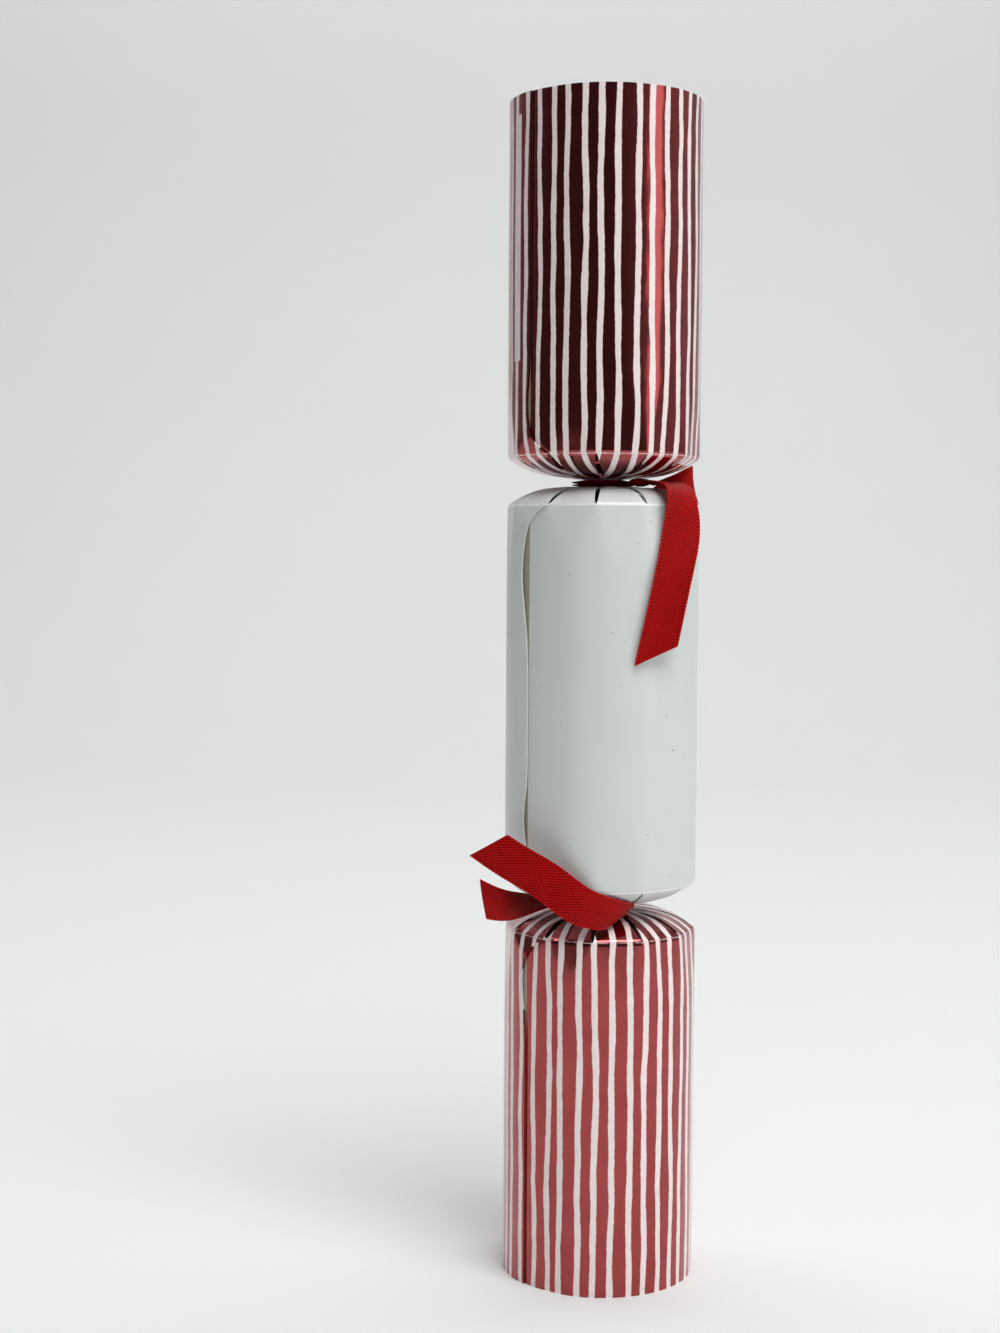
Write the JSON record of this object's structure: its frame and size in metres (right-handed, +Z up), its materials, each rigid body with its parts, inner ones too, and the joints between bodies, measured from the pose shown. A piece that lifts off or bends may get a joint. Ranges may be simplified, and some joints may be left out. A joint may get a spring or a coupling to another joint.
{
  "type": "christmas cracker",
  "caption": "Card tube drawn in at two necks by die-cut petals and ribbon ties, with striped foil ends, a white barrel, a pull-apart snap, a rolled paper crown, a motto and dice inside.",
  "frame": {"origin": "middle of the lower end's rim, on the cracker's axis", "axes": "+Z up the cracker's axis from the lower end to the upper end; the viewer of the picture stands at -Y and +X is to the right"},
  "size_m": [0.0598, 0.0558, 0.305],
  "materials": {
    "striped_foil_card": "red foil card printed with hand-drawn white stripes along the cracker, grey-cream board inside",
    "white_card": "coated cool white card with a satin sheen, grey-cream board inside",
    "liner_board": "plain grey-brown tube board, matt",
    "snap_card": "thin buff card strip, matt",
    "snap_compound": "dried grey friction compound",
    "snap_grit": "dark brown abrasive patch",
    "snap_paper": "thin cream paper band",
    "ribbon_satin": "red woven ribbon with a satin sheen and stitched-looking selvedges",
    "crown_tissue": "green tissue paper, folded and rolled",
    "motto_paper": "thin white paper, rolled",
    "die_plastic": "white moulded plastic with dark pips"
  },
  "bodies": {
    "lower_end": {"lower_end_wrap": "striped_foil_card", "lower_end_liner": "liner_board", "lower_snap_strip": "snap_card", "snap_charge": "snap_compound", "snap_band": "snap_paper"},
    "barrel": {"barrel_wrap": "white_card", "barrel_liner": "liner_board", "upper_ribbon_loop": "ribbon_satin", "upper_ribbon_knot": "ribbon_satin", "upper_ribbon_front_tail": "ribbon_satin", "upper_ribbon_back_tail": "ribbon_satin", "lower_ribbon_loop": "ribbon_satin", "lower_ribbon_knot": "ribbon_satin", "lower_ribbon_front_tail": "ribbon_satin", "lower_ribbon_back_tail": "ribbon_satin"},
    "upper_end": {"upper_end_wrap": "striped_foil_card", "upper_end_liner": "liner_board", "upper_snap_strip": "snap_card", "snap_striker": "snap_grit"},
    "crown": {"paper_crown": "crown_tissue", "motto_slip": "motto_paper"},
    "die_one": {"first_die": "die_plastic"},
    "die_two": {"second_die": "die_plastic"}
  },
  "joints": [
    {"name": "lower_pull", "type": "slide", "parent": "lower_end", "child": "barrel", "axis": [0, 0, 1], "range_m": [0, 0.08]},
    {"name": "upper_pull", "type": "slide", "parent": "barrel", "child": "upper_end", "axis": [0, 0, 1], "range_m": [0, 0.08]},
    {"name": "crown_rattle", "type": "slide", "parent": "barrel", "child": "crown", "axis": [0, 0, 1], "range_m": [0, 0.0105]},
    {"name": "first_die_rattle", "type": "slide", "parent": "barrel", "child": "die_one", "axis": [0, 0, 1], "range_m": [0, 0.088]},
    {"name": "second_die_rattle", "type": "slide", "parent": "barrel", "child": "die_two", "axis": [0, 0, 1], "range_m": [0, 0.088]}
  ]
}
